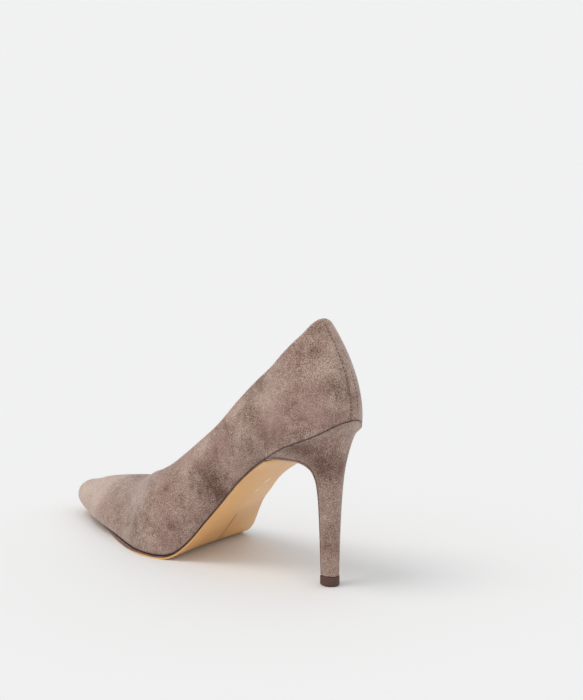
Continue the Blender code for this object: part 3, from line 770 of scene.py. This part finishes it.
def heelLoops():
    look = heelLook
    t = np.linspace(-1, 1, look["across"] + 1)
    x = last["breastReach"] * (1 - np.cos(np.linspace(0, math.pi / 2, look["seatStations"] + 1)))
    along = x[:, None] - look["hollow"] * (x[:, None] / last["breastReach"]) ** 4 * (1 - t ** 2)
    y = middle(along) + planHalf(along) * t
    seat = place(along, y, bottomLevel(along, y))
    n, foot = len(x) - 1, look["topPiece"] + last["gap"]
    loop = np.concatenate((seat[n:0:-1, -1], seat[0:n, 0], seat[n, 0:-1]))
    share = np.linspace(0, 1, n + 1)
    turn = np.clip(share / look["backShare"], 0, 1) * math.pi / 2
    run = np.clip((share - look["backShare"]) / (1 - look["backShare"]), 0, 1)
    depth, half = (1 - np.cos(turn) + run) / 2, np.sin(turn) - look["drawIn"] * run ** 2
    stemX = np.concatenate((depth[n:0:-1], depth[0:n], np.full(look["across"], 1.0)))
    front = np.linspace(-half[n], half[n], look["across"] + 1)[:-1]
    stemY = np.concatenate((half[n:0:-1], -half[0:n], front))
    seatHalf, halfDepth = last["seatWidth"] / 2, look["depth"] / 2
    topX, topY = (loop[:, 0] + last["setback"]) / last["breastReach"], loop[:, 1] / seatHalf
    loops = []
    for ring in np.linspace(1, 0, look["rings"] + 1):
        at = {name: float(heelLine[name](ring * length)) for name in heelLine}
        if ring == 0:
            at = dict.fromkeys(at, 0.0)
        xFront = halfDepth + at["front"] * (last["breastReach"] - last["setback"] - halfDepth)
        xBack = -halfDepth + at["back"] * (halfDepth - last["setback"])
        halfNow = look["width"] / 2 + at["half"] * (seatHalf - look["width"] / 2)
        blend = easeIn(ring, look["topRing"], 1)
        u, v = stemX + (topX - stemX) * blend, stemY + (topY - stemY) * blend
        up = at["backUp"] + (at["frontUp"] - at["backUp"]) * topX
        z = foot + (loop[:, 2] - foot) * up
        loops.append(np.stack((xBack + u * (xFront - xBack), v * halfNow, z), axis=-1))
    return seat, np.array(loops)


def buildHeel():
    look = heelLook
    seat, loops = heelLoops()
    count = loops.shape[1]
    corners = (0, count - look["across"])  # the two front corners, where the cover's edges meet the breast
    brushed = strokes(loops, look["brushed"])
    centre = loops.mean(axis=1, keepdims=True)
    seam = np.zeros(loops.shape[:2])
    for corner in corners:
        back = 1 if corner == 0 else -1
        line = loops[:, (corner + 2 * back) % count][:, None]
        away = np.linalg.norm(loops - line, axis=2)
        hit = np.exp(-(away / look["seamWidth"]) ** 2)
        seam = np.maximum(seam, hit)
    inward = centre - loops
    inward[..., 2] = 0
    inward /= np.maximum(np.linalg.norm(inward, axis=2, keepdims=True), 1e-9)
    drop = np.linalg.norm(loops - loops[0:1], axis=2)
    topRound = look["topRound"] * np.exp(-drop / look["topRoundReach"])
    shown = loops + inward * (seam * look["seamDepth"] + topRound)[..., None]
    # painted shade: the top of the cover is darkened where it meets the seat, and the front corners are dark
    # seam lines partly painted as shade
    dark = np.maximum(0.9 * seam, 0.75 * np.exp(-(drop / look["topShade"]) ** 2))
    around = lambda grid: np.concatenate((grid, grid[:, :1]), axis=1)
    rim = np.stack((loops[0], shown[0]))
    foot = capped(np.concatenate((shown[-1], shown[-1][:1])))
    none = lambda grid: {"brushed": np.zeros(grid.shape[:2]), "seam": np.zeros(grid.shape[:2])}
    patches = [(around(shown), {"brushed": around(brushed), "seam": around(dark)}, 0),
               (seat, none(seat), 0), (around(rim), none(around(rim)), 0), (foot, none(foot), 0)]
    return makePiece("heelCover", patches, [heelSuede], 60), shown[-1]


heelCover, stemFoot = buildHeel()
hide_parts("heel")
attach(heelCover, "root")
print("heel ready")

# top piece of the heel

tipLook = {
    "height": heelLook["topPiece"], "margin": 0.0002, "round": 0.0009,
    "colour": srgb(104, 70, 60), "deep": srgb(72, 47, 40),
}


def tipMaterial():
    material, tree, shader, position = newMaterial("tipRubber", Specular_IOR_Level=0.4)
    speck = noise(tree, position, 2600.0, 3, 0.7).outputs["Fac"]
    slow = noise(tree, position, 300.0, 3, 0.6).outputs["Fac"]
    halves = math2(tree, "MULTIPLY", speck, 0.5), math2(tree, "MULTIPLY", slow, 0.5)
    colour = mixColour(tree, math2(tree, "ADD", *halves, True), tipLook["deep"], tipLook["colour"])
    tree.links.new(colour, shader.inputs["Base Color"])
    tree.links.new(math2(tree, "ADD", math2(tree, "MULTIPLY", slow, 0.3), 0.42), shader.inputs["Roughness"])
    addBump(tree, shader, speck, 0.00005)
    return material


def buildTip():
    look, rings = tipLook, []
    half = heelLook["width"] / 2
    top = look["height"]
    steps = [(-0.0006, top), (0.0, top - 0.0001), (look["margin"], top - 0.0004)]
    steps += [(look["margin"], look["round"])]
    steps += [(look["margin"] - look["round"] * (1 - math.cos(a)), look["round"] * (1 - math.sin(a)))
              for a in np.linspace(0.2, math.pi / 2, 7)]
    for inset, z in steps:
        ring = stemFoot * (1 + inset / half, 1 + inset / half, 0) + (0, 0, z)
        rings.append(np.concatenate((ring, ring[:1])))
    rings = np.array(rings)
    patches = [(rings, {}, 0), (capped(rings[0]), {}, 0), (capped(rings[-1]), {}, 0)]
    return makePiece("heelTip", patches, [tipMaterial()], 50)


heelTip = buildTip()
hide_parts("top_piece")
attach(heelTip, "root")
print("tip ready")

# stitches of the back seam, made with Geometry Nodes along a path

stitchLook = {
    "pitch": 0.0021, "length": 0.0013, "radius": 0.00026, "sink": 0.00004,
    "colour": srgb(88, 64, 56), "deep": srgb(70, 52, 46),
    "from": 0.0965, "to": 0.1445, "points": 60, "first": 0.0006,
    "second": -0.0048, "secondPoints": slice(8, 30),  # a short row on the inner side of the seam
}


def threadMaterial():
    material, tree, shader, position = newMaterial("thread", Roughness=0.75, Sheen_Weight=0.3)
    twist = noise(tree, position, 3000.0, 2, 0.5).outputs["Fac"]
    colour = mixColour(tree, twist, stitchLook["deep"], stitchLook["colour"])
    tree.links.new(colour, shader.inputs["Base Color"])
    return material


def stitchTree(material):
    tree = bpy.data.node_groups.new("stitchRow", "GeometryNodeTree")
    tree.interface.new_socket("Geometry", in_out="INPUT", socket_type="NodeSocketGeometry")
    ids = {}
    for name, key in (("Pitch", "pitch"), ("Stitch Length", "length"), ("Thread Radius", "radius")):
        socket = tree.interface.new_socket(name, in_out="INPUT", socket_type="NodeSocketFloat")
        socket.default_value = stitchLook[key]
        ids[name] = socket.identifier
    tree.interface.new_socket("Geometry", in_out="OUTPUT", socket_type="NodeSocketGeometry")
    given, out = tree.nodes.new("NodeGroupInput"), tree.nodes.new("NodeGroupOutput")
    link = tree.links.new
    toCurve = tree.nodes.new("GeometryNodeMeshToCurve")
    link(given.outputs["Geometry"], toCurve.inputs["Mesh"])
    points = tree.nodes.new("GeometryNodeCurveToPoints")
    points.mode = "LENGTH"
    link(toCurve.outputs["Curve"], points.inputs["Curve"])
    link(given.outputs["Pitch"], points.inputs["Length"])
    ball = tree.nodes.new("GeometryNodeMeshUVSphere")
    for name, value in (("Segments", 8), ("Rings", 6), ("Radius", 1.0)):
        ball.inputs[name].default_value = value
    size = tree.nodes.new("ShaderNodeCombineXYZ")
    halfLength = tree.nodes.new("ShaderNodeMath")
    halfLength.operation = "MULTIPLY"
    halfLength.inputs[1].default_value = 0.5
    link(given.outputs["Stitch Length"], halfLength.inputs[0])
    link(halfLength.outputs[0], size.inputs["Z"])
    link(given.outputs["Thread Radius"], size.inputs["X"])
    link(given.outputs["Thread Radius"], size.inputs["Y"])
    shape = tree.nodes.new("GeometryNodeTransform")
    link(ball.outputs["Mesh"], shape.inputs["Geometry"])
    link(size.outputs[0], shape.inputs["Scale"])
    instance = tree.nodes.new("GeometryNodeInstanceOnPoints")
    link(points.outputs["Points"], instance.inputs["Points"])
    link(shape.outputs["Geometry"], instance.inputs["Instance"])
    link(points.outputs["Rotation"], instance.inputs["Rotation"])
    realize = tree.nodes.new("GeometryNodeRealizeInstances")
    link(instance.outputs["Instances"], realize.inputs["Geometry"])
    setMaterial = tree.nodes.new("GeometryNodeSetMaterial")
    setMaterial.inputs["Material"].default_value = material
    link(realize.outputs["Geometry"], setMaterial.inputs["Geometry"])
    link(setMaterial.outputs["Geometry"], out.inputs["Geometry"])
    return tree, ids


def pathObject(name, paths):
    data = bpy.data.meshes.new(name)
    verts, edges = [], []
    for path in paths:
        edges += [(len(verts) + i, len(verts) + i + 1) for i in range(len(path) - 1)]
        verts += [tuple(p) for p in path]
    data.from_pydata(verts, edges, [])
    made = bpy.data.objects.new(name, data)
    bpy.context.scene.collection.objects.link(made)
    return made


def plainFromNodes(source, name, tree, ids, values):
    modifier = source.modifiers.new("rows", "NODES")
    modifier.node_group = tree
    for key, value in values.items():
        modifier[ids[key]] = value
    data = bpy.data.meshes.new_from_object(source.evaluated_get(bpy.context.evaluated_depsgraph_get()))
    source.modifiers.remove(modifier)
    bpy.data.objects.remove(source, do_unlink=True)
    data.name = name
    data.shade_smooth()
    made = bpy.data.objects.new(name, data)
    bpy.context.scene.collection.objects.link(made)
    return made


def rayToUpper(points, direction):  # drops points onto the suede along a direction
    found = []
    for p in points:
        hit, where, normal, _ = upperShell.ray_cast(Vector(p), Vector(direction))
        if hit:
            found.append(np.array(where) + np.array(normal) * stitchLook["sink"])
    return found


heights = np.linspace(stitchLook["from"], stitchLook["to"], stitchLook["points"])
backPaths = [rayToUpper([(-0.06, y, z) for z in rowHeights], (1, 0, 0)) for y, rowHeights in (
    (stitchLook["first"], heights), (stitchLook["second"], heights[stitchLook["secondPoints"]]))]
tree, ids = stitchTree(threadMaterial())
backStitches = plainFromNodes(
    pathObject("stitchPath", backPaths), "backStitches", tree, ids,
    {"Pitch": stitchLook["pitch"], "Stitch Length": stitchLook["length"],
     "Thread Radius": stitchLook["radius"]})
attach(backStitches, "root")
print("stitches ready", len(backStitches.data.polygons))

# floor, light and camera

stageLook = {
    "floor": 0.81, "world": 0.85, "worldTint": (0.96, 1.0, 1.02),
    "sun": 0.95, "sunTint": (1.0, 0.90, 0.82), "sunAngle": 32.0, "sunFrom": (0.25, 0.45, 1.0),
}


def buildStage():
    data = bpy.data.meshes.new("floor")
    data.from_pydata([(-12, -12, 0), (12, -12, 0), (12, 12, 0), (-12, 12, 0)], [], [(0, 1, 2, 3)])
    floor = bpy.data.objects.new("floor", data)
    floor.location.z = -0.00005
    bpy.context.scene.collection.objects.link(floor)
    grey = stageLook["floor"]
    material, tree, shader, position = newMaterial("floorPaper", Roughness=0.9, Specular_IOR_Level=0.1)
    soft = noise(tree, position, 3.0, 2, 0.5).outputs["Fac"]
    colour = mixColour(tree, soft, (grey * 0.996,) * 3, (grey,) * 3)
    tree.links.new(colour, shader.inputs["Base Color"])
    data.materials.append(material)
    world = bpy.data.worlds.new("studio")
    world.use_nodes = True
    world.node_tree.nodes["Background"].inputs["Color"].default_value = (*stageLook["worldTint"], 1)
    world.node_tree.nodes["Background"].inputs["Strength"].default_value = stageLook["world"]
    bpy.context.scene.world = world
    light = bpy.data.lights.new("window", "SUN")
    light.energy, light.color = stageLook["sun"], stageLook["sunTint"]
    light.angle = math.radians(stageLook["sunAngle"])
    lamp = bpy.data.objects.new("window", light)
    lamp.rotation_euler = Vector(stageLook["sunFrom"]).to_track_quat("Z", "Y").to_euler()
    bpy.context.scene.collection.objects.link(lamp)


cameraLook = {"from": (-1.22368, 1.09240, 0.46511), "turn": 49.0, "down": 11.5, "lens": 3102.5 / 700 * 36}


def buildCamera():
    a, e = math.radians(cameraLook["turn"]), math.radians(cameraLook["down"])
    ahead = Vector((math.sin(a) * math.cos(e), -math.cos(a) * math.cos(e), -math.sin(e)))
    right = Vector((-math.cos(a), -math.sin(a), 0))
    up = right.cross(ahead)
    data = bpy.data.cameras.new("camera")
    data.sensor_width, data.lens = 36, cameraLook["lens"]
    data.clip_start, data.clip_end = 0.05, 60
    camera = bpy.data.objects.new("camera", data)
    turned = Matrix((right, up, -ahead)).transposed().to_4x4()
    turned.translation = Vector(cameraLook["from"])
    camera.matrix_world = turned
    bpy.context.scene.collection.objects.link(camera)
    bpy.context.scene.camera = camera


buildStage()
buildCamera()
bpy.context.scene.view_settings.view_transform = "Standard"
bpy.context.view_layer.update()
print("stage ready")
